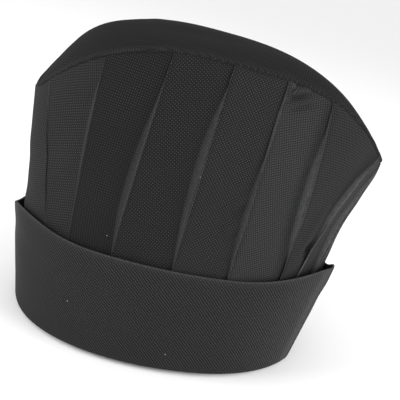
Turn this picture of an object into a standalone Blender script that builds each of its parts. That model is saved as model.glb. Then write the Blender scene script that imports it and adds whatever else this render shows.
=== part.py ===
"""Chef's hat with a knife-pleated crown and a tall turned-up cuff.

Metres, +Z up. The origin is the middle of the cuff's bottom edge; the wearer
faces -Y and the hat is longest along X. Every ring of cloth is an oval tube
whose half lengths change with height, and "turn" runs once round it from the
back through -X, the front and +X to the back again.
"""

from math import cos, pi, sin, tau

import bmesh
import bpy

# Cloth and sewing
CLOTH = 0.0010             # modelled thickness of one layer of cloth
STIFFENER = 0.0008         # thickness of the strip inside the cuff
TAPE = 0.0008              # thickness of the binding tape
GAP = 0.0004               # air between pieces that touch on the real hat
THREAD_RADIUS = 0.0003

# The turned-up cuff: half lengths along X and Y of its outer face
CUFF_BOTTOM = (0.1100, 0.0780)
CUFF_TOP = (0.1225, 0.0750)
CUFF_HEIGHT = 0.0765

# The headband: half lengths of its outer face
BAND_FOOT = 0.0008         # lifts the headband clear of the table
BAND_HEIGHT = 0.071
BAND_BOTTOM_INSET = 0.0026
BAND_TOP = (0.1098, 0.0688)

# The crown
PLEATS = 16
CROWN_FOOT = 0.056         # height where the pleats start, inside the cuff
CROWN_WAIST = (0.1105, 0.0712)      # half lengths of its inner face at the foot
CROWN_SHOULDER = (0.1236, 0.0551)   # the same at the top seam
SHOULDER_HEIGHT = 0.2115   # the top seam's height at the front and back
SHOULDER_DROOP = 0.052     # how far the seam falls from the front to the sides
SHOULDER_BEND = 2.5        # power of the fall: above 2, it gathers towards the sides
PLEAT_DEPTH_SEWN = 0.0009  # how proud a fold stands at the two seams
PLEAT_DEPTH_OPEN = 0.0038  # how much prouder it stands halfway up
PLEAT_EDGE = 0.09          # share of a pleat taken by its steep side
DOME = 0.006               # rise of the top panel's middle above its seam
SEAM_ALLOWANCE = 0.006     # edge of the top panel, turned down inside
SEAM_OVERHANG = 0.0006     # the top panel's edge stands this far past the folds

# Inner strips, as heights of their lower and upper edges
STIFFENER_SPAN = (0.003, 0.070)
SWEATBAND_SPAN = (0.004, 0.030)
TAPE_SPAN = (0.060, 0.0705)
BAND_SEAM_HEIGHT = 0.066
SWEATBAND_SEAM_HEIGHT = 0.027
BACK_SEAM_SPAN = (0.0325, 0.0575)
CROWN_SEAM_SHARE = (0.16, 0.90)     # the crown's back seam, as shares of its wall

# Mesh density
COLUMNS_PER_PLEAT = 4
COLUMNS = PLEATS * COLUMNS_PER_PLEAT
WALL_ROWS = 8
STRIP_ROWS = 3
PANEL_RINGS = 6
THREAD_STEPS = 12

MERGE = 1e-6               # points closer than this are one point

BLACK_CLOTH = (0.038, 0.038, 0.039, 1.0)
DARK_CLOTH = (0.030, 0.030, 0.031, 1.0)
GREY_CLOTH = (0.060, 0.060, 0.062, 1.0)
WHITE_CLOTH = (0.60, 0.60, 0.58, 1.0)
BLACK_THREAD = (0.020, 0.020, 0.021, 1.0)


def mix(start, end, share):
    """The value a share of the way from start to end."""
    return start + (end - start) * share


def oval(turn, half_x, half_y):
    """A point of an oval; turn 0.5 is the front, 0.75 is +X."""
    angle = tau * turn
    return -half_x * sin(angle), half_y * cos(angle)


def cuff_halves(height):
    """Half lengths of the cuff's outer face at a height."""
    share = height / CUFF_HEIGHT
    return mix(CUFF_BOTTOM[0], CUFF_TOP[0], share), mix(CUFF_BOTTOM[1], CUFF_TOP[1], share)


def band_halves(height):
    """Half lengths of the headband's outer face at a height."""
    share = height / BAND_HEIGHT
    foot = [half - BAND_BOTTOM_INSET for half in CUFF_BOTTOM]
    return mix(foot[0], BAND_TOP[0], share), mix(foot[1], BAND_TOP[1], share)


def pleat_share(column):
    """Where a column stands along its pleat, from 0 in the valley to 1."""
    step = column % COLUMNS_PER_PLEAT
    if step == 0:
        return 0.0
    return mix(PLEAT_EDGE, 1.0, (step - 1) / (COLUMNS_PER_PLEAT - 1))


def pleat_depth(column, rise):
    """A saw's tooth: up the steep side, then a slow fall along the panel."""
    share = pleat_share(column)
    fullness = PLEAT_DEPTH_SEWN + PLEAT_DEPTH_OPEN * sin(pi * rise)
    if share <= PLEAT_EDGE:
        return fullness * share / PLEAT_EDGE
    return fullness * (1 - share) / (1 - PLEAT_EDGE)


def pleat_turn(column):
    """The turn of a column, with the steep sides of the pleats kept narrow."""
    return (column // COLUMNS_PER_PLEAT + pleat_share(column)) / PLEATS


def seam_height(x):
    """Height of the top seam: highest at x = 0, lowest at the two sides."""
    return SHOULDER_HEIGHT - SHOULDER_DROOP * abs(x / CROWN_SHOULDER[0]) ** SHOULDER_BEND


def crown_oval(turn, rise, proud):
    """A point of the crown's oval a share of the way up, this far outside it."""
    half_x = mix(CROWN_WAIST[0], CROWN_SHOULDER[0], rise) + proud
    half_y = mix(CROWN_WAIST[1], CROWN_SHOULDER[1], rise) + proud
    return oval(turn, half_x, half_y)


def wall_top(turn):
    """Height of the pleated wall's upper edge, just under the top panel."""
    seam_x, _ = oval(turn, *CROWN_SHOULDER)
    return seam_height(seam_x) - CLOTH - GAP


def crown_point(column, rise, outset):
    """A point of the pleated wall, outset from its inner face."""
    turn = pleat_turn(column)
    x, y = crown_oval(turn, rise, pleat_depth(column, rise) + outset)
    return x, y, mix(CROWN_FOOT, wall_top(turn), rise)


def new_collection(name):
    """A collection linked to the scene."""
    collection = bpy.data.collections.new(name)
    bpy.context.scene.collection.children.link(collection)
    return collection


def cloth_material(name, colour, roughness):
    """A matt cloth or thread."""
    material = bpy.data.materials.new(name)
    material.use_nodes = True
    shader = material.node_tree.nodes["Principled BSDF"]
    shader.inputs["Base Color"].default_value = colour
    shader.inputs["Roughness"].default_value = roughness
    shader.inputs["Metallic"].default_value = 0.0
    material.diffuse_color = colour
    return material


def mapped_grid(name, across, up, place, collection, material):
    """A square grid whose points are placed by a function of column and row,
    then sewn together where they meet."""
    sheet = bmesh.new()
    bmesh.ops.create_grid(sheet, x_segments=across, y_segments=up, size=1.0)
    sheet.verts.ensure_lookup_table()
    for vert in sheet.verts:
        column = round((vert.co.x + 1) / 2 * across)
        row = round((vert.co.y + 1) / 2 * up)
        vert.co = place(column, row)
    bmesh.ops.remove_doubles(sheet, verts=sheet.verts, dist=MERGE)
    bmesh.ops.dissolve_degenerate(sheet, edges=sheet.edges, dist=MERGE)
    bmesh.ops.recalc_face_normals(sheet, faces=sheet.faces)
    bmesh.ops.triangulate(sheet, faces=sheet.faces)
    mesh = bpy.data.meshes.new(name)
    sheet.to_mesh(mesh)
    sheet.free()
    mesh.shade_smooth()
    mesh.set_sharp_from_angle(angle=pi / 5)
    piece = bpy.data.objects.new(name, mesh)
    piece.data.materials.append(material)
    collection.objects.link(piece)
    return piece


def strip(name, halves, span, inset, thickness, collection, material):
    """An oval band of cloth with square edges, a fixed inset inside the
    outer face that halves gives."""
    def place(column, row):
        going_up = row <= STRIP_ROWS
        step = row if going_up else 2 * STRIP_ROWS + 1 - row
        step = max(step, 0)
        if row > 2 * STRIP_ROWS + 1:
            going_up, step = True, 0
        height = mix(span[0], span[1], step / STRIP_ROWS)
        half_x, half_y = halves(height)
        depth = inset if going_up else inset + thickness
        x, y = oval((column % COLUMNS) / COLUMNS, half_x - depth, half_y - depth)
        return x, y, height
    return mapped_grid(name, COLUMNS, 2 * STRIP_ROWS + 2, place, collection, material)


def build_crown_wall(collection, material):
    """The pleated strip: up its outer face, over the edge, down inside."""
    def place(column, row):
        if row > 2 * WALL_ROWS + 1:
            row = 0
        going_up = row <= WALL_ROWS
        step = row if going_up else 2 * WALL_ROWS + 1 - row
        outset = CLOTH if going_up else 0.0
        return crown_point(column % COLUMNS, step / WALL_ROWS, outset)
    return mapped_grid("crown_wall", COLUMNS, 2 * WALL_ROWS + 2, place, collection, material)


def build_crown_top(collection, material):
    """The top panel: out over the dome, round the edge, then inwards under
    it and down the seam allowance that hangs inside the wall."""
    edge = PLEAT_DEPTH_SEWN + CLOTH + SEAM_OVERHANG
    skirt = -GAP
    # each step: outset from the crown's oval, share of the radius, drop below the seam
    dome = [(edge, ring / PANEL_RINGS, 0.0) for ring in range(PANEL_RINGS + 1)]
    turned = [(edge, 1.0, CLOTH), (skirt, 1.0, CLOTH), (skirt, 1.0, SEAM_ALLOWANCE),
              (skirt - CLOTH, 1.0, SEAM_ALLOWANCE), (skirt - CLOTH, 1.0, CLOTH)]
    under = [(skirt - CLOTH, ring / PANEL_RINGS, CLOTH) for ring in range(PANEL_RINGS - 1, -1, -1)]
    steps = dome + turned + under

    def place(column, row):
        outset, radius, drop = steps[row]
        turn = pleat_turn(column % COLUMNS)
        rise = 1 - max(drop - CLOTH, 0.0) / (wall_top(turn) - CROWN_FOOT)
        x, y = crown_oval(turn, rise, outset)
        seam_x, _ = oval(turn, CROWN_SHOULDER[0] * radius, 0.0)
        return x * radius, y * radius, seam_height(seam_x) + DOME * (1 - radius ** 2) - drop
    return mapped_grid("crown_top", COLUMNS, len(steps) - 1, place, collection, material)


def thread(name, points, closed, collection, material):
    """A thread of round section along a list of points."""
    curve = bpy.data.curves.new(name, "CURVE")
    curve.dimensions = "3D"
    curve.bevel_depth = THREAD_RADIUS
    curve.bevel_resolution = 1
    curve.use_fill_caps = not closed
    line = curve.splines.new("POLY")
    line.points.add(len(points) - 1)
    for point, place in zip(line.points, points):
        point.co = (*place, 1.0)
    line.use_cyclic_u = closed
    curve.materials.append(material)
    piece = bpy.data.objects.new(name, curve)
    collection.objects.link(piece)
    return piece


def strip_seam(name, height, inset, collection, material):
    """A line of stitching round the inner side of the headband."""
    half_x, half_y = band_halves(height)
    depth = inset + GAP + THREAD_RADIUS
    ring = [oval(column / COLUMNS, half_x - depth, half_y - depth) for column in range(COLUMNS)]
    return thread(name, [(x, y, height) for x, y in ring], True, collection, material)


def build_top_seam(collection, material):
    """The stitching that holds the seam allowance, on its inner side."""
    inset = 2 * GAP + CLOTH + THREAD_RADIUS
    drop = (SEAM_ALLOWANCE + CLOTH) / 2
    points = []
    for column in range(COLUMNS):
        turn = pleat_turn(column)
        rise = 1 - (drop - CLOTH) / (wall_top(turn) - CROWN_FOOT)
        seam_x, _ = oval(turn, *CROWN_SHOULDER)
        points.append((*crown_oval(turn, rise, -inset), seam_height(seam_x) - drop))
    return thread("top_seam_thread", points, True, collection, material)


def build_crown_back_seam(collection, material):
    """The seam that closes the pleated strip into a ring, inside its back."""
    column = COLUMNS_PER_PLEAT // 2
    inset = -(GAP + THREAD_RADIUS)
    shares = [mix(*CROWN_SEAM_SHARE, step / THREAD_STEPS) for step in range(THREAD_STEPS + 1)]
    points = [crown_point(column, share, inset) for share in shares]
    return thread("crown_back_thread", points, False, collection, material)


def build_band_back_seam(collection, material):
    """The seam that closes the headband into a ring, inside its back."""
    inset = CLOTH + GAP + THREAD_RADIUS
    points = []
    for step in range(THREAD_STEPS + 1):
        height = mix(*BACK_SEAM_SPAN, step / THREAD_STEPS)
        _, half_y = band_halves(height)
        points.append((0.0, half_y - inset, height))
    return thread("band_back_thread", points, False, collection, material)


def build_band(collection, materials):
    """The cuff, the headband and the strips sewn to them."""
    strip("cuff", cuff_halves, (0.0, CUFF_HEIGHT), 0.0, CLOTH, collection, materials["cloth"])
    strip("cuff_interlining", cuff_halves, STIFFENER_SPAN, CLOTH + GAP, STIFFENER,
          collection, materials["stiffener"])
    strip("headband", band_halves, (BAND_FOOT, BAND_HEIGHT), 0.0, CLOTH, collection, materials["cloth"])
    strip("sweatband", band_halves, SWEATBAND_SPAN, CLOTH + GAP, CLOTH, collection, materials["lining"])
    strip("crown_binding", band_halves, TAPE_SPAN, CLOTH + GAP, TAPE, collection, materials["tape"])


def build_threads(collection, material):
    """Every line of stitching."""
    build_top_seam(collection, material)
    build_crown_back_seam(collection, material)
    build_band_back_seam(collection, material)
    strip_seam("band_seam_thread", BAND_SEAM_HEIGHT, CLOTH + GAP + TAPE, collection, material)
    strip_seam("sweatband_thread", SWEATBAND_SEAM_HEIGHT, 2 * CLOTH + GAP, collection, material)


def main():
    for item in list(bpy.data.objects):
        bpy.data.objects.remove(item)
    hat = new_collection("chef_toque")
    materials = {
        "cloth": cloth_material("black_cloth", BLACK_CLOTH, 0.85),
        "panel": cloth_material("black_panel_cloth", DARK_CLOTH, 0.85),
        "lining": cloth_material("sweatband_cloth", GREY_CLOTH, 0.9),
        "stiffener": cloth_material("stiffener", WHITE_CLOTH, 0.8),
        "tape": cloth_material("binding_tape", DARK_CLOTH, 0.8),
        "thread": cloth_material("black_thread", BLACK_THREAD, 0.6),
    }
    build_crown_top(hat, materials["panel"])
    build_crown_wall(hat, materials["cloth"])
    build_band(hat, materials)
    build_threads(hat, materials["thread"])


main()
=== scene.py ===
"""A black chef's hat: knife-pleated crown, smooth top panel and a tall turned-up cuff.

Every piece of cloth is a surface over two parameters. One is the turn round the
hat, from 0 at the back through -X, the front at 0.5 and +X, to 1 at the back
again. The other runs up the cloth, or along its cross-section where it is folded.
"""

from math import cos, pi, radians, sin

import bpy
import numpy as np
from mathutils import Matrix, Vector


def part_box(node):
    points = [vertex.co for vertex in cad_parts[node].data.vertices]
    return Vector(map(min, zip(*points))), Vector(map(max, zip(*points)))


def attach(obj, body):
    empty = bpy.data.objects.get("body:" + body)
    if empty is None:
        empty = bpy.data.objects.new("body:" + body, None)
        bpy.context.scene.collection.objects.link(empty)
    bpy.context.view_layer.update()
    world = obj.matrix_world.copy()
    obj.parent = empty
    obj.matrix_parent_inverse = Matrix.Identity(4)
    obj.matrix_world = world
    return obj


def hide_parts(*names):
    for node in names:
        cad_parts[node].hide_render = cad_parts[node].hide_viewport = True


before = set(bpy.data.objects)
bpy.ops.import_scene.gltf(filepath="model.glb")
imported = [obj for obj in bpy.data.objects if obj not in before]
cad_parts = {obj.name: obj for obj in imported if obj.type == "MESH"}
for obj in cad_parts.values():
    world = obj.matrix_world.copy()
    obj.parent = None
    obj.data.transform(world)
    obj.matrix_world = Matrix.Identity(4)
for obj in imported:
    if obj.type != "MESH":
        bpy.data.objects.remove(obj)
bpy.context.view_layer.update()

MM = 0.001

# --------------------------------------------------------------------------
# Sizes, from the frame
# --------------------------------------------------------------------------

CUFF_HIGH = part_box("cuff")[1]
BAND_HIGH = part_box("headband")[1]
WALL_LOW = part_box("crown_wall")[0]
TOP_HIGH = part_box("crown_top")[1]
TAPE_LOW, TAPE_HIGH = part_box("crown_binding")
SWEAT_LOW, SWEAT_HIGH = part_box("sweatband")
STIFF_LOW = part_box("cuff_interlining")[0]

CLOTH = 0.40 * MM               # thickness of one layer

# Ovals, as half lengths in X and Y of the outer face
CUFF_BOTTOM = (110.0 * MM, CUFF_HIGH[1])
CUFF_TOP = (CUFF_HIGH[0] - 4.0 * MM, 75.0 * MM)
BAND_BOTTOM = (107.4 * MM, 75.4 * MM)
BAND_TOP = (109.8 * MM, 68.8 * MM)
CROWN_WAIST = (111.6 * MM, 72.3 * MM)       # the pleats' valleys, at the foot
CROWN_SHOULDER = (TOP_HIGH[0] - 1.2 * MM, TOP_HIGH[1] - 1.2 * MM)
# How full their four corners are: 2 is an ellipse
CUFF_FULLNESS = 2.06, 2.16                  # at the bottom and at the top
BAND_FULLNESS = 2.10
CROWN_FULLNESS = 2.06

CUFF_HEIGHT = CUFF_HIGH[2]
BAND_HEIGHT = BAND_HIGH[2]
CROWN_FOOT = WALL_LOW[2]
DOME = 6.0 * MM                 # rise of the top panel's middle above its seam
SEAM_TOP = TOP_HIGH[2] - DOME
SEAM_DROOP = 52.0 * MM          # fall of the top seam from the front to the sides
SEAM_BEND = 3.2, 2.5            # power of that fall, towards -X and towards +X
SEAM_SKEW = 4.5 * MM            # the seam is this much higher at -X, and lower at +X
SEAM_CORNERS = -3.5 * MM, 4.0 * MM          # and its ends are this much higher, at -X and at +X

# A bump is given as (height, middle, half width). Its middle and half width are
# in degrees from the front towards +X, unless the name says otherwise.
FOOT_ARCH = (3.4 * MM, -14, 50)             # how far the bottom edge is off the floor
CUFF_CLIMB = 7.0 * MM                       # rise of the cuff's free edge towards the right
CUFF_CLIMB_SPAN = (12, 60), (58, 80)        # where it climbs and where it ends
CUFF_EDGE_BUMPS = [(2.5 * MM, -62, 18), (-7.5 * MM, -102, 20), (-7.5 * MM, 92, 20)]
CUFF_PRESSED = (1.6 * MM, 98, 24)           # the cuff is pressed in behind its right crease
CUFF_SWAY = 0.9 * MM, 0.45 * MM             # slow and quick waves of the cuff's free edge
CUFF_INSET = 0.5 * MM                       # the waves stand about this far inside its oval
CROWN_BULGE = 1.6 * MM                      # the wall's fullness halfway up
LEAN = 4.5 * MM                             # how far the soft crown leans to +X at its top
# Hollows of the wall over the cuff: depth, then middle and half height as shares
# of the wall's height, then middle and half width in degrees
HOLLOWS = [(8.5 * MM, 0.48, 0.32, 90, 38), (3.6 * MM, 0.52, 0.28, -108, 30)]
# Places where the top panel is puffed up, as bumps over X / half length
PANEL_PUFFS = [(13.0 * MM, -0.87, 0.23), (4.0 * MM, 0.70, 0.30)]
# Creases from lying flat: degrees from the front, and how far they stand out
PACKING_FOLDS = [(-94, 4.8 * MM), (57, 4.2 * MM)]
CREASE_REACH = 10               # degrees in which such a crease falls off by e

# The folds of the pleats that show from the front. Each has its place in degrees
# from the front towards +X at the foot and at the top seam, and how far it bows to
# +X halfway. Those behind are spaced evenly between the ends.
FRONT_FOLDS = [(-57, -69, 0.0), (-47, -44.5, 0.0), (-30.5, -24, 0.0), (-9.5, -7, 0.0),
               (10, 9, 0.0), (29.5, 25, 2.4), (37, 63, -4.6), (48, 77, -3.6)]
PLEATS = 16
# How each of those folds stands open: by how many mm, where it is widest, where
# that ends below and above as shares of the wall's height, how pale its side is painted (painted light on the return
# that faces the left light, with a little wear on the fold) and how dark the cloth is painted just before it (painted
# shade in the valley)
OPENINGS = [(0.6, 0.50, 0.00, 1.00, 0.6, 0.0),
            (2.8, 0.70, 0.00, 1.00, 1.0, 0.0),
            (4.6, 0.46, 0.00, 1.00, 1.6, 0.0),
            (4.8, 0.58, 0.00, 1.00, 1.8, 0.0),
            (2.7, 0.40, 0.00, 0.85, 1.7, 0.0),
            (4.6, 0.54, 0.16, 1.00, 2.4, 0.5),
            (4.0, 0.60, 0.20, 1.12, 3.6, 0.5),
            (6.0, 0.50, 0.00, 1.10, 3.2, 0.3)]
BACK_OPENING = (3.6, 0.48, 0.00, 1.00, 1.2, 0.1)
# The cloth was laid with its emboss turned a little from pleat to pleat, degrees,
# and each front panel is painted a little lighter or darker: painted light for how brightly that panel catches the
# light
FRONT_GRAIN = [-17, 0, 28, 47, -17, 4, 20, 30]
FRONT_PANEL_LIGHT = [-0.04, -0.32, -0.20, -0.04, 0.34, 0.02, 0.10, 0.10]

# Angles in degrees, lengths in metres; lens and sensor in millimetres
CAMERA_AZIMUTH = -15.2
CAMERA_ELEVATION = 21.4
CAMERA_ROLL = 16.0
CAMERA_DISTANCE = 0.479
CAMERA_AIM = (0.0066, -0.0011, 0.0993)
CAMERA_LENS = 59.0
SENSOR = 36.0
# Name, place, side of the square and power in watts of each soft light
LIGHTS = [("left", (-1.55, -0.20, 0.62), 0.7, 20.0),
          ("right", (1.34, -0.84, 0.70), 0.9, 20.0)]
LIT_POINT = (0.0, 0.0, 0.11)
SURROUND = 0.92                 # strength of the even light from all round

# --------------------------------------------------------------------------
# Small helpers on arrays
# --------------------------------------------------------------------------


def mix(start, end, share):
    """The value a share of the way from start to end."""
    return start + (end - start) * share


def smooth(low, high, value):
    """0 below low, 1 above high, and an S between: three times the square of
    the share, less twice its cube."""
    share = np.clip((value - low) / (high - low), 0, 1)
    return share * share * (3 - 2 * share)


def hump(value, centre, width):
    """A bell of height 1 round its centre: e to the power of minus the square
    of the distance in widths."""
    return np.exp(-((value - centre) / width) ** 2)


def bumps(value, table):
    """Sum of bells, each with its height, middle and half width."""
    return sum(height * hump(value, centre, width) for height, centre, width in table)


def from_front(degrees):
    """The turn of an angle counted from the front towards +X."""
    return 0.5 + degrees / 360


def apart(turn, other):
    """Signed distance between two turns, in degrees, the short way round."""
    return ((turn - other + 0.5) % 1 - 0.5) * 360


def waves(turn, up, seed, scale, count=5):
    """Soft unevenness: a sum of sine waves whose whole-number turns and phases
    come from a fixed seed, so that it closes round the hat. About -1 to 1."""
    rng = np.random.default_rng(seed)
    total = 0.0
    for _ in range(count):
        round_hat = rng.integers(1, scale + 1)
        along = rng.uniform(-1.2, 1.2) * scale / 4
        total = total + np.sin(2 * pi * (round_hat * turn + along * up + rng.random()))
    return total / count ** 0.5 / 1.4


def oval(turn, half_x, half_y, fullness=2.0):
    """Plan of the hat. An ellipse point is pushed out along its own radius by
    (|sin|^n + |cos|^n)^(-1/n), so n above 2 fills the four corners."""
    angle = 2 * pi * turn
    s, c = np.sin(angle), np.cos(angle)
    push = (np.abs(s) ** fullness + np.abs(c) ** fullness) ** (-1 / fullness)
    return -half_x * s * push, half_y * c * push


def oval_out(turn, half_x, half_y):
    """Unit vector that points straight out of the oval, in plan: the slope of
    the ellipse's equation, divided by its length."""
    angle = 2 * pi * turn
    x, y = -np.sin(angle) / half_x, np.cos(angle) / half_y
    size = np.hypot(x, y)
    return x / size, y / size


# --------------------------------------------------------------------------
# The shape of the hat
# --------------------------------------------------------------------------


def packed_crease(turn):
    """How far the sharp ridges stand out where the hat was folded flat: tents
    that fall off exponentially to both sides of each crease."""
    return sum(height * np.exp(-np.abs(apart(turn, from_front(fold))) / CREASE_REACH)
               for fold, height in PACKING_FOLDS)


def round_bump(turn, bump):
    """A bump that lies round the hat, at each turn."""
    height, middle, width = bump
    return height * hump(apart(turn, from_front(middle)), 0, width)


def cuff_edge(turn):
    """How far the cuff's free edge is above its even height: an S up towards
    the crease at the right and down behind it, plus bumps and dips."""
    side = apart(turn, from_front(0))
    up, down = CUFF_CLIMB_SPAN
    return CUFF_CLIMB * smooth(*up, side) * (1 - smooth(*down, side)) + bumps(side, CUFF_EDGE_BUMPS)


def cuff_place(turn, height, inset):
    """A point of the cuff: an oval that grows linearly with height, moved out
    by the packing creases and by waves that grow towards the free top edge."""
    share = height / CUFF_HEIGHT
    half_x = mix(CUFF_BOTTOM[0], CUFF_TOP[0], share) - inset
    half_y = mix(CUFF_BOTTOM[1], CUFF_TOP[1], share) - inset
    x, y = oval(turn, half_x, half_y, mix(*CUFF_FULLNESS, share))
    out_x, out_y = oval_out(turn, half_x, half_y)
    free = smooth(0.0, 1.0, share)
    slow, quick = CUFF_SWAY
    sway = (slow * waves(turn, share, 11, 4) + quick * waves(turn, share, 12, 12)) * free
    sway = sway + packed_crease(turn) * (0.35 + 0.65 * share) - CUFF_INSET - round_bump(turn, CUFF_PRESSED) * free
    edge = 0.7 * MM * waves(turn, 0.0, 13, 5) * free + cuff_edge(turn)
    lift = round_bump(turn, FOOT_ARCH) * (1 - share)
    return x + out_x * sway, y + out_y * sway, height + edge * share + lift


def band_place(turn, height, inset):
    """A point of the headband: an oval that changes linearly with height."""
    share = height / BAND_HEIGHT
    half_x = mix(BAND_BOTTOM[0], BAND_TOP[0], share) - inset
    half_y = mix(BAND_BOTTOM[1], BAND_TOP[1], share) - inset
    x, y = oval(turn, half_x, half_y, BAND_FULLNESS)
    return x, y, height + round_bump(turn, FOOT_ARCH) * (1 - share)


def seam_height(x):
    """Height of the top seam: an arch over X whose fall is a power of X, less
    a slight skew, with both ends lifted or dropped a little."""
    share = x / CROWN_SHOULDER[0]
    at_left, at_right = SEAM_CORNERS
    corners = at_right * smooth(0.85, 1.05, share) + at_left * smooth(0.80, 1.05, -share)
    bend = np.where(share < 0, *SEAM_BEND)
    return SEAM_TOP - SEAM_DROOP * np.abs(share) ** bend - SEAM_SKEW * share + corners


def seam_round(turn):
    """Height of the top seam at each turn of the hat."""
    return seam_height(oval(turn, *CROWN_SHOULDER, CROWN_FULLNESS)[0])


def crown_place(turn, rise, out):
    """A point of the crown's wall. Its oval grows linearly from waist to
    shoulder and leans to +X. It bulges by a sine of the height, less the two
    hollows, and its height runs from the foot to the top seam."""
    half_x = mix(CROWN_WAIST[0], CROWN_SHOULDER[0], rise)
    half_y = mix(CROWN_WAIST[1], CROWN_SHOULDER[1], rise)
    x, y = oval(turn, half_x, half_y, CROWN_FULLNESS)
    out_x, out_y = oval_out(turn, half_x, half_y)
    out = out + CROWN_BULGE * np.sin(pi * np.clip(rise, 0, 1))
    for depth, middle, height, side, width in HOLLOWS:
        out = out - hump(rise, middle, height) * round_bump(turn, (depth, side, width))
    return x + out_x * out + LEAN * rise, y + out_y * out, mix(CROWN_FOOT, seam_round(turn) - 0.3 * MM, rise)


# --------------------------------------------------------------------------
# Meshes
# --------------------------------------------------------------------------


def grid_faces(rows, columns, closed):
    """Quads of a grid of points, row by row; closed joins the last column to
    the first."""
    row = np.arange(rows - 1)[:, None]
    column = np.arange(columns if closed else columns - 1)[None, :]
    after = (column + 1) % columns
    corners = [row * columns + column, row * columns + after,
               (row + 1) * columns + after, (row + 1) * columns + column]
    return np.stack([np.broadcast_to(c, (rows - 1, column.size)) for c in corners], -1).reshape(-1, 4)


def mesh_piece(name, points, faces, corner_uv=None, marks=None):
    """An object from an array of points and an array of faces, with a UV for
    each face corner and named values for each point."""
    mesh = bpy.data.meshes.new(name)
    mesh.vertices.add(len(points))
    mesh.vertices.foreach_set("co", np.ascontiguousarray(points, dtype=np.float32).ravel())
    sides = faces.shape[1]
    mesh.loops.add(faces.size)
    mesh.loops.foreach_set("vertex_index", faces.ravel().astype(np.int32))
    mesh.polygons.add(len(faces))
    mesh.polygons.foreach_set("loop_start", np.arange(0, faces.size, sides, dtype=np.int32))
    mesh.update(calc_edges=True)
    if corner_uv is not None:
        layer = mesh.uv_layers.new(name="cloth")
        layer.data.foreach_set("uv", np.ascontiguousarray(corner_uv, dtype=np.float32).ravel())
    for label, values in (marks or {}).items():
        mark = mesh.attributes.new(label, "FLOAT", "POINT")
        mark.data.foreach_set("value", np.ascontiguousarray(values, dtype=np.float32).ravel())
    mesh.validate()
    mesh.shade_smooth()
    piece = bpy.data.objects.new(name, mesh)
    bpy.context.scene.collection.objects.link(piece)
    return piece


def cloth_piece(name, x, y, z, u, v, closed=True, grain=None, shift=0.0, marks=None):
    """A sheet of cloth from arrays of rows by columns. u and v are lengths on
    the flat cloth at each column edge, so u has one more column where the
    sheet is closed; shift moves u and grain turns both, face column by column."""
    rows, columns = x.shape
    faces = grid_faces(rows, columns, closed)
    span = columns if closed else columns - 1
    u0, u1 = u[:, :span] + shift, u[:, 1:span + 1] + shift
    v0, v1 = v[:, :span], v[:, 1:span + 1]
    across = np.stack([u0[:-1], u1[:-1], u1[1:], u0[1:]], -1)
    up = np.stack([v0[:-1], v1[:-1], v1[1:], v0[1:]], -1)
    if grain is not None:
        turned = grain[None, :, None]
        across, up = (across * np.cos(turned) - up * np.sin(turned),
                      across * np.sin(turned) + up * np.cos(turned))
    uv = np.stack([across, up], -1).reshape(-1, 2)
    points = np.stack([x, y, z], -1).reshape(-1, 3)
    return mesh_piece(name, points, faces, uv, marks)


def give_thickness(piece, thickness, offset=0.0):
    """Both faces and the cut edges of a sheet."""
    wall = piece.modifiers.new("thickness", "SOLIDIFY")
    wall.thickness = thickness
    wall.offset = offset
    wall.use_even_offset = False


def length_along(x, y, z, axis):
    """Running length of a grid's lines along an axis: the sum of the straight
    steps between neighbouring points, starting at 0."""
    steps = np.sqrt(np.diff(x, axis=axis) ** 2 + np.diff(y, axis=axis) ** 2 + np.diff(z, axis=axis) ** 2)
    total = np.cumsum(steps, axis=axis)
    return np.concatenate([np.zeros_like(np.take(total, [0], axis=axis)), total], axis=axis)


def closed_lengths(x, y, z):
    """Flat lengths round a closed ring, measured on its middle row."""
    row = len(x) // 2
    ring = [np.append(a[row], a[row, 0])[None] for a in (x, y, z)]
    return np.repeat(length_along(*ring, axis=1), len(x), axis=0)


def closed_columns(values):
    """The same array with its first column again at the end."""
    return np.concatenate([values, values[:, :1]], axis=1)


# --------------------------------------------------------------------------
# The pleated wall
# --------------------------------------------------------------------------

WALL_ROWS = (62, 36)            # rows up to the crumpled edge under the seam, and in it
CRUMPLE_FROM = 0.86
PANEL_STEPS = 13                # points across a pleat's panel
RETURN_STEPS = 5                # across its return
BEND_STEPS = 4                  # and round each fold
FOLD_ROUND = 0.8 * MM           # how close to a fold the cloth starts to bend
FOLD_DEPTH_SEWN = 0.9 * MM      # how proud a fold stands where it is sewn
UNDERLAP = 5.0 * MM             # cloth hidden behind a fold where it is sewn
PANEL_SAG = 0.55 * MM           # how far a panel's middle lies in
SEAM_TUCK = 1.7 * MM            # and the wall's top edge, under the panel above
# Wrinkles of the wall: height, length over the wall's height, slant in degrees for
# a whole wave, middle in degrees from the front, and middle and half height
PULLS = (1.3 * MM, 9, 16, 5.5, 0.42, 0.12)
CRUMPLE = (2.8 * MM, 20, 6, 13.0, 0.94, 0.05)


def fold_turns(rise):
    """Turns of all the folds at each height, one row a height: those in front
    from their list, and the rest evenly from the last to the first."""
    front = np.array(FRONT_FOLDS, dtype=float)
    rows = mix(front[:, 0], front[:, 1], rise[:, None]) + front[:, 2] * np.sin(pi * rise[:, None])
    hidden = PLEATS - len(front)
    steps = np.arange(1, hidden + 1) / (hidden + 1)
    rest = mix(rows[:, -1:], rows[:, :1] + 360, steps)
    return from_front(np.concatenate([rows, rest], axis=1))


def opening_of(number):
    """The opening of a fold, by its number round the hat."""
    return OPENINGS[number] if number < len(OPENINGS) else BACK_OPENING


def fold_opening(number, rise):
    """How wide a fold stands open at each height: the underlap where it is
    sewn, and the other way by its opening where it is widest."""
    width, centre, low, high = opening_of(number)[:4]
    spread = np.where(rise < centre, centre - low, high - centre)
    bell = np.cos(np.clip((rise - centre) / spread, -1, 1) * pi / 2) ** 0.8
    return (UNDERLAP + width * MM) * bell - UNDERLAP


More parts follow.
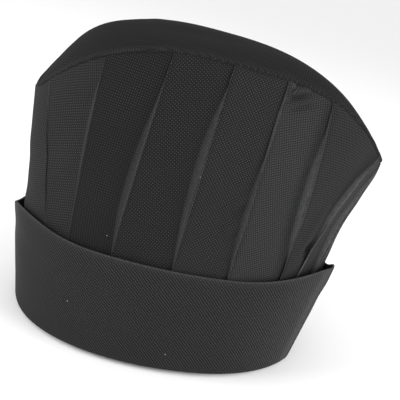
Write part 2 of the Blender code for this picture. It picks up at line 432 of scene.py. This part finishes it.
def round_corner(before, corner, after, steps):
    """Points of a short curve that cuts a corner: the quadratic curve between
    points a little way down each side."""
    def toward(other):
        """The corner moved a little way towards another point."""
        side = other - corner
        size = np.maximum(np.linalg.norm(side, axis=-1, keepdims=True), 1e-9)
        return corner + side / size * np.minimum(FOLD_ROUND, size * 0.45)
    start, end = toward(before), toward(after)
    share = np.linspace(0, 1, steps)[:, None, None]
    return (1 - share) ** 2 * start + 2 * share * (1 - share) * corner + share ** 2 * end


def pleat_section(pitch, opening, depth):
    """Cross-sections of one pleat, one for each height: over the outer fold,
    along the panel, round the inner fold and back along the return. Columns
    are (distance along the wall, distance out of it)."""
    groove = -0.18 * np.maximum(opening, 0)
    inner_before = np.stack([-opening, groove], -1)
    outer = np.stack([0 * pitch, depth], -1)
    inner = np.stack([pitch - opening, groove], -1)
    outer_after = np.stack([pitch, depth], -1)
    over = round_corner(inner_before, outer, inner, BEND_STEPS)
    under = round_corner(outer, inner, outer_after, BEND_STEPS)
    panel_share = np.linspace(0, 1, PANEL_STEPS + 2)[1:-1, None, None]
    panel = mix(over[-1], under[0], panel_share)
    return_share = np.linspace(0, 0.9, RETURN_STEPS + 1)[1:, None, None]
    back = mix(under[-1], outer_after, return_share)
    return np.concatenate([over, panel, under, back])


def fold_marks(number, count):
    """How pale each of a pleat's points is painted: a painted highlight, with a little wear, on its own outer fold,
    then painted light in a ramp along the return towards the next one, where the return faces the light, with a
    painted shadow line in the valley before it."""
    order = np.arange(count)[:, None]
    pale = opening_of(number)[4]
    next_pale, next_painted_shade = opening_of((number + 1) % PLEATS)[4:]
    over = np.interp(order, [0, 1, 2, 3, 4], [pale, 0.9 * pale, 0.1, -0.2, 0.0])
    climb = (order - count) / (BEND_STEPS + RETURN_STEPS) + 1
    # Painted light up the return, and a painted shadow line in the valley before the next fold
    return over + next_pale * np.clip(climb, 0, 1) ** 0.9 - next_painted_shade * hump(climb, -0.08, 0.2)


def wall_arrays():
    """The wall's heights, turns and distances out, rows by columns, with the
    pleat of each column and how pale each point is."""
    rise = np.concatenate([np.linspace(0, CRUMPLE_FROM, WALL_ROWS[0], endpoint=False),
                           np.linspace(CRUMPLE_FROM, 1, WALL_ROWS[1])])
    folds = fold_turns(rise)
    turns, outs, owner, crest = [], [], [], []
    for number in range(PLEATS):
        after = folds[:, (number + 1) % PLEATS] + (number == PLEATS - 1)
        step = after - folds[:, number]
        ends = [np.stack(crown_place(t, rise, 0.0), -1) for t in (folds[:, number], after)]
        pitch = np.linalg.norm(ends[1] - ends[0], axis=-1)
        opening = fold_opening((number + 1) % PLEATS, rise)
        width = max(opening_of(number)[0], 1.0)
        depth = FOLD_DEPTH_SEWN + 0.34 * width * MM * np.sin(pi * rise) ** 0.8
        section = pleat_section(pitch, opening, depth)
        along = section[..., 0] / pitch
        turns.append(folds[:, number] + along * step)
        outs.append(section[..., 1] - PANEL_SAG * 4 * np.clip(along, 0, 1) * (1 - np.clip(along, 0, 1)))
        owner += [number] * len(section)
        crest.append(fold_marks(number, len(section)) + 0 * rise)
    turn = np.concatenate(turns).T
    out = np.concatenate(outs).T
    return rise[:, None] + 0 * turn, turn, out, np.array(owner), np.concatenate(crest).T


def wall_creases(turn, rise):
    """Soft dents and pulls of the cloth: slow and fine waves all over, short
    slanting wrinkles beside the fold right of the middle, a crumpled tuck under
    the seam, and beside the last fold but one a low swell with a pinch in it."""
    slow = 0.8 * MM * waves(turn, rise, 21, 9, 7) * np.sin(pi * rise)
    fine = 0.25 * MM * waves(turn, rise, 22, 18, 9)
    height, count, slant, place, middle, half = PULLS
    beside = apart(turn, from_front(place))
    pulls = height * np.sin(2 * pi * (rise * count - beside / slant)) * hump(beside, 0, 3.2) * hump(rise, middle, half)
    height, count, slant, place, middle, half = CRUMPLE
    tuck = apart(turn, from_front(place))
    crumple = (height * np.sin(2 * pi * (rise * count - tuck / slant)) * smooth(-3.0, -0.5, tuck)
               * hump(tuck, 0, 5.0) * hump(rise, middle, half))
    foot, head, bow = FRONT_FOLDS[6]
    last = apart(turn, from_front(mix(foot, head, rise) + bow * np.sin(pi * rise)))
    swell = 2.0 * MM * hump(last, -6.0, 3.2) * hump(rise, 0.40, 0.24)
    pinch = 3.2 * MM * hump(last, -2.2, 1.4) * hump(rise, 0.31, 0.035)
    return slow + fine + pulls + crumple + swell - pinch


def build_pleated_wall():
    """The crown's wall: one strip laid in knife pleats. Each row's lengths are
    shifted so that the emboss is even about the middle of every panel."""
    rise, turn, out, owner, crest = wall_arrays()
    out = out + wall_creases(turn, rise) * smooth(0.0, 0.12, rise) - SEAM_TUCK * smooth(0.965, 1.0, rise)
    x, y, z = crown_place(turn, rise, out)
    u = length_along(*[closed_columns(a) for a in (x, y, z)], axis=1)
    middles = (np.bincount(owner).cumsum() - PANEL_STEPS // 2 - RETURN_STEPS - BEND_STEPS)[owner]
    shift = u[WALL_ROWS[0] // 2][middles] - u[:, middles]
    v = closed_columns(length_along(x, y, z, axis=0))
    behind = range(len(FRONT_FOLDS), PLEATS)
    grain = np.radians(FRONT_GRAIN + [31 * n % 90 for n in behind])[owner]
    panel_light_and_tone = np.array(FRONT_PANEL_LIGHT + [0.08 * sin(5.0 * n) for n in behind])[owner]
    # The fold mark carries painted highlights, painted light and painted shade at the folds, with a little wear; the
    # tone mark carries painted light on each front panel and random tone on the panels behind
    marks = {"fold": crest, "tone_and_light": panel_light_and_tone + 0 * crest}
    piece = cloth_piece("pleated_wall", x, y, z, u, v, grain=grain, shift=shift, marks=marks)
    give_thickness(piece, CLOTH)
    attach(piece, "root")
    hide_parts("crown_wall")
    return piece


# --------------------------------------------------------------------------
# The top panel
# --------------------------------------------------------------------------

PANEL_COLUMNS = 320
PANEL_RINGS = 40
PANEL_BEND_STEPS = 6            # rings round the edge
PANEL_DROP_STEPS = 4            # and down the turned part
EDGE_ROUND = 1.6 * MM           # radius of the panel's edge over the seam
ALLOWANCE = 6.0 * MM            # edge turned down inside the wall


def build_top_panel():
    """The top panel: an oval that follows the arch of the seam, plus a dome
    that falls with the square of the radius and puffs that fall with its fourth
    power. The radius runs from 0 to 1 over the panel, then a quarter circle and
    a straight drop make the edge that is turned down inside the wall."""
    turn = np.linspace(0, 1, PANEL_COLUMNS, endpoint=False)[None, :]
    radius = (np.linspace(0, 1, PANEL_RINGS) ** 0.85)[:, None]
    bend = np.linspace(0, pi / 2, PANEL_BEND_STEPS + 1)[1:, None]
    drop = np.linspace(0, ALLOWANCE, PANEL_DROP_STEPS + 1)[1:, None]
    share = np.concatenate([radius, np.ones((PANEL_BEND_STEPS + PANEL_DROP_STEPS, 1))])
    step_out = np.concatenate([0 * radius, EDGE_ROUND * np.sin(bend), EDGE_ROUND + 0 * drop])
    step_down = np.concatenate([0 * radius, EDGE_ROUND * (1 - np.cos(bend)), EDGE_ROUND + drop])
    tucked = np.concatenate([0 * radius, 0 * bend, 0.35 * (drop + 2.2 * MM)])
    rim = CROWN_SHOULDER[0] - EDGE_ROUND, CROWN_SHOULDER[1] - EDGE_ROUND
    rim_x, rim_y = oval(turn, *rim, CROWN_FULLNESS)
    out_x, out_y = oval_out(turn, *rim)
    x = rim_x * share + out_x * (step_out - tucked) + LEAN
    y = rim_y * share + out_y * (step_out - tucked)
    seam_x = oval(turn, *CROWN_SHOULDER, CROWN_FULLNESS)[0] * share
    puff = bumps(seam_x / CROWN_SHOULDER[0], PANEL_PUFFS)
    z = seam_height(seam_x) + DOME * (1 - share ** 2) + puff * (1 - share ** 4) - step_down
    near_rim = smooth(0.72, 1.0, share) * (1 - smooth(0, EDGE_ROUND, step_down))
    z = z + 0.35 * MM * waves(turn, share, 31, 34, 9) * near_rim
    z = z + 0.9 * MM * waves(turn, share, 32, 3, 5) * smooth(0.1, 0.5, share) * (1 - smooth(0.85, 1.0, share))
    # A thin painted highlight along the panel's rounded edge over the seam
    marks = {"fold": 0.3 * hump(share, 1.0, 0.012) + 0 * x}
    piece = cloth_piece("top_panel", x, y, z, closed_columns(x), closed_columns(y), marks=marks)
    weld = piece.modifiers.new("pole", "WELD")
    weld.merge_threshold = 1e-6
    give_thickness(piece, CLOTH, -1.0)
    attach(piece, "root")
    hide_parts("crown_top")
    return piece


# --------------------------------------------------------------------------
# The band: headband, bottom fold, cuff, top fold and hem in one strip
# --------------------------------------------------------------------------

BAND_COLUMNS = 360
HEM_FOOT = 30.0 * MM            # the cuff's inner layer ends at this height
TOP_FOLD = 0.8 * MM             # half width of the fold along the cuff's top edge
BOTTOM_FOLD = 1.4 * MM          # half width of the fold that the hat stands on


def build_band():
    """One strip folded in two: down the headband, round the bottom fold by half
    a circle, up the cuff, over its top edge and down inside to the hem. Its
    folds and packing creases get painted highlights, and its right side is painted lighter as painted light."""
    turn = np.linspace(0, 1, BAND_COLUMNS, endpoint=False)[None, :]
    skin = CLOTH / 2
    inner = np.linspace(BAND_HEIGHT, 2 * BOTTOM_FOLD, 16)[:, None]
    outer = np.linspace(2 * BOTTOM_FOLD, CUFF_HEIGHT - TOP_FOLD, 30)[:, None]
    hem = np.linspace(CUFF_HEIGHT - TOP_FOLD, HEM_FOOT, 14)[1:, None]
    low_bend = np.linspace(pi, 2 * pi, 11)[1:-1, None]
    high_bend = np.linspace(0, pi, 8)[1:-1, None]

    inner_leaf = band_place(turn, inner, skin)
    outer_leaf = cuff_place(turn, outer, skin)
    hem_leaf = cuff_place(turn, hem, skin + 2 * TOP_FOLD)
    top_fold = cuff_place(turn, CUFF_HEIGHT - TOP_FOLD + TOP_FOLD * np.sin(high_bend),
                          skin + TOP_FOLD * (1 - np.cos(high_bend)))
    foot_in = [a[-1:] for a in inner_leaf]
    foot_out = [a[:1] for a in outer_leaf]
    swing = (1 + np.cos(low_bend)) / 2
    bottom_fold = [mix(foot_in[0], foot_out[0], swing), mix(foot_in[1], foot_out[1], swing),
                   (2 * BOTTOM_FOLD - skin) * (1 + np.sin(low_bend)) + skin + round_bump(turn, FOOT_ARCH)]
    parts = [inner_leaf, bottom_fold, outer_leaf, top_fold, hem_leaf]
    x, y, z = [np.concatenate([part[axis] + 0 * turn for part in parts]) for axis in range(3)]
    u = closed_lengths(x, y, z)
    v = closed_columns(length_along(x, y, z, axis=0))
    rows = [len(part[0]) for part in parts]
    order = np.arange(len(x))[:, None]
    top_row, bottom_row = sum(rows[:3]) + rows[3] / 2 - 1, rows[0] + rows[1] / 2
    # Painted highlights along the top and bottom folds, and a painted highlight line beside each packing crease with
    # broader painted light round it
    crest = bumps(order, [(1.8, top_row, 2.4), (0.7, bottom_row, 2.5)])
    creases = sum(bumps(apart(turn, from_front(fold)) * np.sign(fold), [(0.45, 0, 16), (0.9, -4, 3.0)])
                  for fold, _ in PACKING_FOLDS)
    side = apart(turn, from_front(0))
    # The cuff's right side is painted lighter, as painted light from the side
    cuff_side_light = 0.26 * smooth(8, 50, side) * (1 - smooth(100, 150, side))
    marks = {"fold": np.maximum(crest, creases), "tone_and_light": cuff_side_light + 0 * x}
    piece = cloth_piece("folded_band", x, y, z, u, v, marks=marks)
    give_thickness(piece, CLOTH)
    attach(piece, "root")
    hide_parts("cuff", "headband")
    return piece


# Name, node, slot, where it lies, lower and upper edge, inset, thickness, rows,
# bow and flat size of each strip inside the band
INNER_STRIPS = [
    ("cuff_stiffener", "cuff_interlining", "stiffener", cuff_place, STIFF_LOW[2], CUFF_HEIGHT - 2.2 * MM,
     CLOTH / 2 + TOP_FOLD, 0.7 * MM, 24, 0.0, (0.60, 0.071)),
    ("soft_sweatband", "sweatband", "sweatband_cloth", band_place, SWEAT_LOW[2], SWEAT_HIGH[2],
     1.3 * MM, 0.8 * MM, 18, 0.5 * MM, (0.575, 0.026)),
    ("seam_tape", "crown_binding", "binding_tape", band_place, TAPE_LOW[2], TAPE_HIGH[2],
     1.1 * MM, 0.5 * MM, 8, 0.25 * MM, (0.565, 0.0105)),
]


def inner_strip(name, node, slot, place, low, high, inset, thickness, rows, bow, flat):
    """A strip sewn round the band: rows up its height, standing off by a bow
    that is widest halfway up, with a slight wave along its edges."""
    turn = np.linspace(0, 1, BAND_COLUMNS, endpoint=False)[None, :]
    share = np.linspace(0, 1, rows)[:, None]
    ripple = 0.25 * MM * waves(turn, share, len(name), 26, 7)
    x, y, z = place(turn, mix(low, high, share), inset + bow * np.sin(pi * share))
    z = z + ripple * (2 * share - 1)
    v = closed_columns(length_along(x, y, z, axis=0))
    piece = cloth_piece(name, x, y, z, closed_lengths(x, y, z), v, marks={"fold": 0 * x})
    give_thickness(piece, thickness)
    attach(piece, "root")
    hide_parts(node)
    return piece


# --------------------------------------------------------------------------
# Stitching
# --------------------------------------------------------------------------

STITCH = 3.2 * MM               # from one stitch to the next
STITCH_SHOWS = 0.08, 0.84       # where in that length it starts, and how much of it shows
THREAD = 0.22 * MM              # the thread's radius
RING_POINTS = 400
BAND_SEAM_HEIGHT = 66.0 * MM
SWEATBAND_SEAM_HEIGHT = 27.0 * MM
BACK_SEAM_SPAN = 32.5 * MM, 57.5 * MM       # up the headband
CROWN_SEAM_SPAN = 0.16, 0.90                # up the wall, as shares of its height
CROWN_SEAM_TURN = 0.03                      # beside the fold at the back
TOP_SEAM_INSET = 1.6 * MM


def stitch_row(name, node, path, out, closed):
    """A row of stitches along a path of points: each is a short bowed tube
    whose radius is a half ellipse, with its ends sunk into the cloth."""
    ring = np.concatenate([path, path[:1]]) if closed else path
    run = np.concatenate([[0], np.cumsum(np.linalg.norm(np.diff(ring, axis=0), axis=1))])
    side = np.concatenate([out, out[:1]]) if closed else out
    count = int(run[-1] / STITCH)
    first, shown = STITCH_SHOWS
    start = (np.arange(count) + first) * run[-1] / count
    stops = np.linspace(0, 1, 6)
    at = start[:, None] + stops * run[-1] / count * shown
    centre = np.stack([np.interp(at, run, ring[:, i]) for i in range(3)], -1)
    outward = np.stack([np.interp(at, run, side[:, i]) for i in range(3)], -1)
    outward /= np.linalg.norm(outward, axis=-1, keepdims=True)
    forward = centre[:, -1:] - centre[:, :1]
    forward = forward / np.linalg.norm(forward, axis=-1, keepdims=True)
    across = np.cross(forward + 0 * centre, outward)
    lift = (np.sin(pi * stops) ** 0.6 - 0.8)[None, :, None] * THREAD * 1.2
    centre = centre + outward * lift
    around = np.linspace(0, 2 * pi, 7)[:-1]
    thick = (THREAD * (0.25 + 0.75 * np.sin(pi * np.clip(stops, 0.02, 0.98)) ** 0.5))[None, :, None, None]
    points = (centre[:, :, None] + thick * (outward[:, :, None] * np.cos(around)[:, None]
                                            + across[:, :, None] * np.sin(around)[:, None]))
    stops_n, sides = len(stops), len(around)
    body = grid_faces(stops_n, sides, True)[:, ::-1]
    quads = np.array([[0, 1, 2, 3], [0, 3, 4, 5]])
    far = (stops_n - 1) * sides + quads[:, ::-1]
    one = np.concatenate([body, quads, far])
    faces = (np.arange(count)[:, None, None] * stops_n * sides + one).reshape(-1, 4)
    piece = mesh_piece(name, points.reshape(-1, 3), faces)
    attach(piece, "root")
    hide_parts(node)
    return piece


def path_on(place, turn, height, near_face, deeper):
    """Points of a seam on a surface, and the directions into the hat, from the
    same points on a deeper layer."""
    layers = [np.stack([a + 0 * (turn + height) for a in place(turn, height, depth)], -1)
              for depth in (near_face, deeper)]
    return layers[0], layers[1] - layers[0]


def build_stitching():
    """Every row of stitches, each on the inner face of the cloth it holds."""
    turn = np.linspace(0, 1, RING_POINTS, endpoint=False)
    rows = [
        stitch_row("band_seam_stitches", "band_seam_thread",
                   *path_on(band_place, turn, BAND_SEAM_HEIGHT, 1.5 * MM, 2.5 * MM), True),
        stitch_row("sweatband_stitches", "sweatband_thread",
                   *path_on(band_place, turn, SWEATBAND_SEAM_HEIGHT, 1.8 * MM, 2.8 * MM), True)]
    rim = [half - TOP_SEAM_INSET for half in CROWN_SHOULDER]
    x, y = oval(turn, *rim, CROWN_FULLNESS)
    out_x, out_y = oval_out(turn, *rim)
    z = seam_round(turn) - EDGE_ROUND - ALLOWANCE / 2
    rows.append(stitch_row("top_seam_stitches", "top_seam_thread", np.stack([x + LEAN, y, z], -1),
                           np.stack([-out_x, -out_y, 0 * x], -1), True))
    rise = np.linspace(*CROWN_SEAM_SPAN, 60)
    rows.append(stitch_row("crown_back_stitches", "crown_back_thread",
                           *path_on(crown_place, CROWN_SEAM_TURN + 0 * rise, rise, 0.1 * MM, -0.9 * MM), False))
    height = np.linspace(*BACK_SEAM_SPAN, 30)
    rows.append(stitch_row("band_back_stitches", "band_back_thread",
                           *path_on(band_place, 0 * height, height, 0.5 * MM, 1.5 * MM), False))
    return rows


# --------------------------------------------------------------------------
# Materials
# --------------------------------------------------------------------------


class Nodes:
    """Short ways to add and link shader nodes in one tree."""

    def __init__(self, tree):
        self.tree = tree

    def add(self, kind, values=None, **settings):
        """A node with its settings and the values of its sockets."""
        node = self.tree.nodes.new("ShaderNode" + kind)
        for name, value in settings.items():
            setattr(node, name, value)
        for socket, value in (values or {}).items():
            self.give(node.inputs[socket], value)
        return node

    def give(self, socket, value):
        """Link another node's output to a socket, or set a plain value on it."""
        if isinstance(value, bpy.types.NodeSocket):
            self.tree.links.new(value, socket)
        else:
            socket.default_value = value

    def math(self, operation, first, second=0.0, third=0.0):
        """The result of one arithmetic step."""
        return self.add("Math", {0: first, 1: second, 2: third}, operation=operation).outputs[0]

    def remap(self, value, low, high, to_low=0.0, to_high=1.0):
        """A value carried linearly from one range to another, and kept inside it."""
        return self.add("MapRange", {"Value": value, "From Min": low, "From Max": high,
                                     "To Min": to_low, "To Max": to_high}).outputs["Result"]

    def blend(self, share, first, second):
        """A colour the given share of the way from the first to the second."""
        return self.add("Mix", {0: share, 6: first, 7: second}, data_type="RGBA").outputs[2]


def shader_group(name, inputs, outputs):
    """An empty group with named sockets, its node helper, and its input and
    output nodes."""
    group = bpy.data.node_groups.new(name, "ShaderNodeTree")
    for label, kind, value in inputs:
        socket = group.interface.new_socket(label, in_out="INPUT", socket_type="NodeSocket" + kind)
        if value is not None:
            socket.default_value = value
    for label, kind in outputs:
        group.interface.new_socket(label, in_out="OUTPUT", socket_type="NodeSocket" + kind)
    nodes = Nodes(group)
    return group, nodes, nodes.tree.nodes.new("NodeGroupInput"), nodes.tree.nodes.new("NodeGroupOutput")


def emboss_group():
    """Fine square emboss of bonded cloth: the product and the sum of two sine
    waves over the flat cloth, or one wave alone where it is ribbed, shifted and
    broken up by noise. Gives a height and a shade, 0 to 1."""
    group, n, ins, outs = shader_group(
        "cloth_emboss",
        [("Cloth", "Vector", None), ("Pitch", "Float", 1.6 * MM), ("Rib", "Float", 0.0),
         ("Unevenness", "Float", 0.3)],
        [("Height", "Float"), ("Shade", "Float")])
    split = n.add("SeparateXYZ", {0: ins.outputs["Cloth"]})
    wobble = n.add("TexNoise", {"Vector": ins.outputs["Cloth"], "Scale": 160.0, "Detail": 2.0})
    shift = n.math("MULTIPLY", n.math("SUBTRACT", wobble.outputs["Fac"], 0.5), 0.9 * MM)
    turns = n.math("DIVIDE", 2 * pi, ins.outputs["Pitch"])
    wave = [n.math("SINE", n.math("MULTIPLY", n.math("ADD", split.outputs[axis], shift), turns))
            for axis in ("X", "Y")]
    square = n.math("MULTIPLY", wave[0], wave[1])
    both = n.math("ADD", n.math("MULTIPLY", square, 0.30), n.math("MULTIPLY", n.math("ADD", wave[0], wave[1]), 0.14))
    ribbed = n.math("MULTIPLY", wave[1], 0.45)
    weave = n.add("Mix", {0: ins.outputs["Rib"], 2: both, 3: ribbed}).outputs[0]
    fibre = n.add("TexNoise", {"Vector": ins.outputs["Cloth"], "Scale": 2600.0, "Detail": 3.0})
    rough = n.math("MULTIPLY", n.math("SUBTRACT", fibre.outputs["Fac"], 0.5), ins.outputs["Unevenness"])
    height = n.math("ADD", n.math("ADD", weave, rough), 0.5)
    n.tree.links.new(height, outs.inputs["Height"])
    n.tree.links.new(n.remap(height, 0.0, 1.0), outs.inputs["Shade"])
    return group


def fold_wear_and_light_group():
    """Slow changes of shade over the cloth, plus the line along its folds, partly wear and partly painted light:
    a painted highlight where the mark is positive and painted shade where it is negative. Gives a shade to multiply
    the colour by."""
    group, n, ins, outs = shader_group(
        "fold_wear_and_light", [("Place", "Vector", None), ("Fold", "Float", 0.0), ("Fold Shade", "Float", 0.6),
                      ("Patch Shade", "Float", 0.16)], [("Shade", "Float")])
    patches = n.add("TexNoise", {"Vector": ins.outputs["Place"], "Scale": 22.0, "Detail": 3.0})
    slow = n.math("MULTIPLY", n.math("SUBTRACT", patches.outputs["Fac"], 0.5), ins.outputs["Patch Shade"])
    broken = n.add("TexNoise", {"Vector": ins.outputs["Place"], "Scale": 420.0, "Detail": 4.0})
    # Painted highlight along the folds where the mark is positive, painted shade where it is negative
    edge = n.math("MULTIPLY", n.math("MULTIPLY", ins.outputs["Fold"], ins.outputs["Fold Shade"]),
                  n.remap(broken.outputs["Fac"], 0.25, 0.75, 0.55, 1.25))
    n.tree.links.new(n.math("ADD", n.math("ADD", slow, edge), 1.0), outs.inputs["Shade"])
    return group


def lint_group():
    """Sparse specks of lint: the middles of a few of the cells of a random
    cell pattern. Gives a mask."""
    group, n, ins, outs = shader_group("lint", [("Place", "Vector", None), ("Amount", "Float", 0.02)],
                                       [("Mask", "Float")])
    cells = n.add("TexVoronoi", {"Vector": ins.outputs["Place"], "Scale": 130.0})
    speck = n.remap(cells.outputs["Distance"], 0.07, 0.04)
    pick = n.add("SeparateColor", {0: cells.outputs["Color"]})
    chosen = n.math("LESS_THAN", pick.outputs[0], ins.outputs["Amount"])
    n.tree.links.new(n.math("MULTIPLY", speck, chosen), outs.inputs["Mask"])
    return group


GROUPS = {}


def group_node(nodes, name, values):
    """A shared group placed in a material with its own values."""
    if name not in GROUPS:
        GROUPS[name] = {"emboss": emboss_group, "wear_and_light": fold_wear_and_light_group, "lint": lint_group}[name]()
    return nodes.add("Group", values, node_tree=GROUPS[name])


def blank_material(name):
    """A material with its Principled shader and a node helper."""
    material = bpy.data.materials.new(name)
    material.use_nodes = True
    return material, Nodes(material.node_tree), material.node_tree.nodes["Principled BSDF"]


def grey(value, warmth=0.0):
    """A neutral colour, a little warmer or cooler."""
    return (value * (1 + warmth), value, value * (1 - warmth), 1.0)


def cloth_material(name, shade, pitch, contrast, rib=0.0, turn=0.0, fold_shade=0.8, bump=0.5, lint=0.02,
                   rough=0.82, gloss=0.08):
    """Bonded cloth: its shade times the emboss, the folds with their painted highlights,
    painted shade and a little wear, and the tone of each part, which carries painted light on the front pleat panels
    and on the cuff's right side, with a little lint. The emboss is weaker along the folds."""
    material, n, shader = blank_material(name)
    flat = n.add("UVMap", uv_map="cloth").outputs["UV"]
    place = n.add("TexCoord").outputs["Object"]
    laid = n.add("Mapping", {"Vector": flat, "Rotation": (0.0, 0.0, radians(turn))}).outputs[0]
    emboss = group_node(n, "emboss", {"Cloth": laid, "Pitch": pitch, "Rib": rib, "Unevenness": 0.35})
    fold = n.add("Attribute", attribute_name="fold").outputs["Fac"]
    wear_and_light = group_node(n, "wear_and_light", {"Place": place, "Fold": fold, "Fold Shade": fold_shade})
    lint_mask = group_node(n, "lint", {"Place": place, "Amount": lint}).outputs["Mask"]
    depth = n.remap(fold, 0.0, 1.0, 2 * contrast, 0.5 * contrast)
    woven = n.math("ADD", n.math("MULTIPLY", n.math("SUBTRACT", emboss.outputs["Shade"], 0.5), depth), 1.0)
    # The tone mark carries painted light on the front pleat panels and on the cuff's right side, and random tone on
    # the panels behind
    shade_with_tone_and_light = n.math("MULTIPLY", n.math("ADD", n.add("Attribute", attribute_name="tone_and_light").outputs["Fac"], 1.0), shade)
    level = n.math("MULTIPLY", n.math("MULTIPLY", woven, wear_and_light.outputs["Shade"]), shade_with_tone_and_light)
    colour = n.add("CombineColor", {0: level, 1: level, 2: n.math("MULTIPLY", level, 1.02)}).outputs[0]
    colour = n.blend(n.math("MULTIPLY", lint_mask, 0.6), colour, grey(0.45))
    n.tree.links.new(colour, shader.inputs["Base Color"])
    n.tree.links.new(n.remap(emboss.outputs["Shade"], 0.0, 1.0, rough + 0.08, rough - 0.08),
                     shader.inputs["Roughness"])
    raised = n.add("Bump", {"Height": emboss.outputs["Height"], "Distance": 0.12 * MM, "Strength": bump})
    n.tree.links.new(raised.outputs[0], shader.inputs["Normal"])
    shader.inputs["Specular IOR Level"].default_value = gloss
    return material


def felt_material():
    """Off-white needled felt: matted fibres from two stretched noises."""
    material, n, shader = blank_material("stiffener_felt")
    place = n.add("TexCoord").outputs["Object"]
    mats = [n.add("TexNoise", {"Vector": n.add("Mapping", {"Vector": place, "Scale": scale}).outputs[0],
                               "Scale": 900.0, "Detail": 4.0}).outputs["Fac"]
            for scale in ((1.0, 1.0, 0.25), (0.3, 0.3, 1.0))]
    fibre = n.math("MAXIMUM", *mats)
    n.tree.links.new(n.blend(n.remap(fibre, 0.35, 0.75), grey(0.42, 0.02), grey(0.66, 0.02)),
                     shader.inputs["Base Color"])
    n.tree.links.new(n.add("Bump", {"Height": fibre, "Distance": 0.2 * MM, "Strength": 0.6}).outputs[0],
                     shader.inputs["Normal"])
    shader.inputs["Roughness"].default_value = 0.9
    return material


def thread_material():
    """Twisted black thread: slanting ridges from a wave over the object."""
    material, n, shader = blank_material("sewing_thread")
    place = n.add("TexCoord").outputs["Object"]
    twist = n.add("TexWave", {"Vector": place, "Scale": 900.0, "Distortion": 1.5}, bands_direction="DIAGONAL")
    n.tree.links.new(n.blend(twist.outputs["Fac"], grey(0.012), grey(0.045)), shader.inputs["Base Color"])
    n.tree.links.new(n.add("Bump", {"Height": twist.outputs["Fac"], "Distance": 0.05 * MM}).outputs[0],
                     shader.inputs["Normal"])
    shader.inputs["Roughness"].default_value = 0.5
    return material


# --------------------------------------------------------------------------
# Stage, light and camera
# --------------------------------------------------------------------------


FLOOR_POINTS = 49
FLOOR_HALF = 8.0                # metres from the middle to the floor's edge
FLOOR_FLAT = 2.5                # radius inside which it is level
FLOOR_RISE = 2.2                # its height where it meets the middle of an edge


def build_stage():
    """A pale floor, flat under the hat and rising gently like a shallow bowl
    far from it: its height grows with the square of the distance."""
    side = np.linspace(-FLOOR_HALF, FLOOR_HALF, FLOOR_POINTS)
    x, y = np.meshgrid(side, side)
    z = FLOOR_RISE * (np.maximum(np.hypot(x, y) - FLOOR_FLAT, 0.0) / (FLOOR_HALF - FLOOR_FLAT)) ** 2
    points = np.stack([x, y, z], -1).reshape(-1, 3)
    floor = mesh_piece("floor", points, grid_faces(FLOOR_POINTS, FLOOR_POINTS, False))
    material, _, shader = blank_material("pale_floor")
    shader.inputs["Base Color"].default_value = grey(0.93)
    shader.inputs["Roughness"].default_value = 0.9
    floor.data.materials.append(material)


def area_light(name, place, size, power):
    """A soft square light pointed at the middle of the hat."""
    data = bpy.data.lights.new(name, "AREA")
    data.size = size
    data.energy = power
    light = bpy.data.objects.new(name, data)
    light.location = place
    light.rotation_euler = (Vector(LIT_POINT) - Vector(place)).to_track_quat("-Z", "Y").to_euler()
    bpy.context.scene.collection.objects.link(light)


def build_light():
    """Two equal soft lights, one from the left and one from the right and
    front, in an even pale surround that does most of the lighting."""
    for light in LIGHTS:
        area_light(*light)
    world = bpy.data.worlds.new("surround")
    world.use_nodes = True
    background = world.node_tree.nodes["Background"]
    background.inputs["Color"].default_value = grey(1.0)
    background.inputs["Strength"].default_value = SURROUND
    bpy.context.scene.world = world
    bpy.context.scene.view_settings.view_transform = "Standard"


def build_camera():
    """A camera close by, a little to the -X side of the front and above, rolled
    so that the hat leans to the right."""
    azimuth, elevation = radians(CAMERA_AZIMUTH), radians(CAMERA_ELEVATION)
    back = Vector((sin(azimuth) * cos(elevation), -cos(azimuth) * cos(elevation), sin(elevation)))
    data = bpy.data.cameras.new("camera")
    data.lens = CAMERA_LENS
    data.sensor_width = SENSOR
    data.clip_start = 0.01
    camera = bpy.data.objects.new("camera", data)
    turned = (-back).to_track_quat("-Z", "Y").to_matrix() @ Matrix.Rotation(radians(CAMERA_ROLL), 3, "Z")
    camera.rotation_euler = turned.to_euler()
    camera.location = Vector(CAMERA_AIM) + back * CAMERA_DISTANCE
    bpy.context.scene.collection.objects.link(camera)
    bpy.context.scene.camera = camera


def main():
    """The camera, the light and the stage, then each piece with its material."""
    build_camera()
    build_light()
    build_stage()
    pleat_cloth = cloth_material("pleat_cloth", 0.0195, 1.6 * MM, 1.4)
    cuff_cloth = cloth_material("cuff_cloth", 0.0195, 1.6 * MM, 1.2, rib=0.35, turn=45)
    # The top panel's cloth is painted darker than the wall and cuff, as painted shade, so that it reads no brighter
    # under the light from above
    top_cloth = cloth_material("top_cloth", 0.0155, 1.5 * MM, 0.9, turn=20, gloss=0.02)
    soft_cloth = cloth_material("soft_cloth", 0.060, 1.1 * MM, 0.25, bump=0.8, fold_shade=0.0)
    tape_cloth = cloth_material("tape_cloth", 0.030, 0.9 * MM, 0.5, rib=1.0, bump=0.9, fold_shade=0.0)
    build_pleated_wall().data.materials.append(pleat_cloth)
    build_top_panel().data.materials.append(top_cloth)
    build_band().data.materials.append(cuff_cloth)
    for strip, material in zip(INNER_STRIPS, (felt_material(), soft_cloth, tape_cloth)):
        inner_strip(*strip).data.materials.append(material)
    thread = thread_material()
    for piece in build_stitching():
        piece.data.materials.append(thread)


main()
bpy.context.view_layer.update()
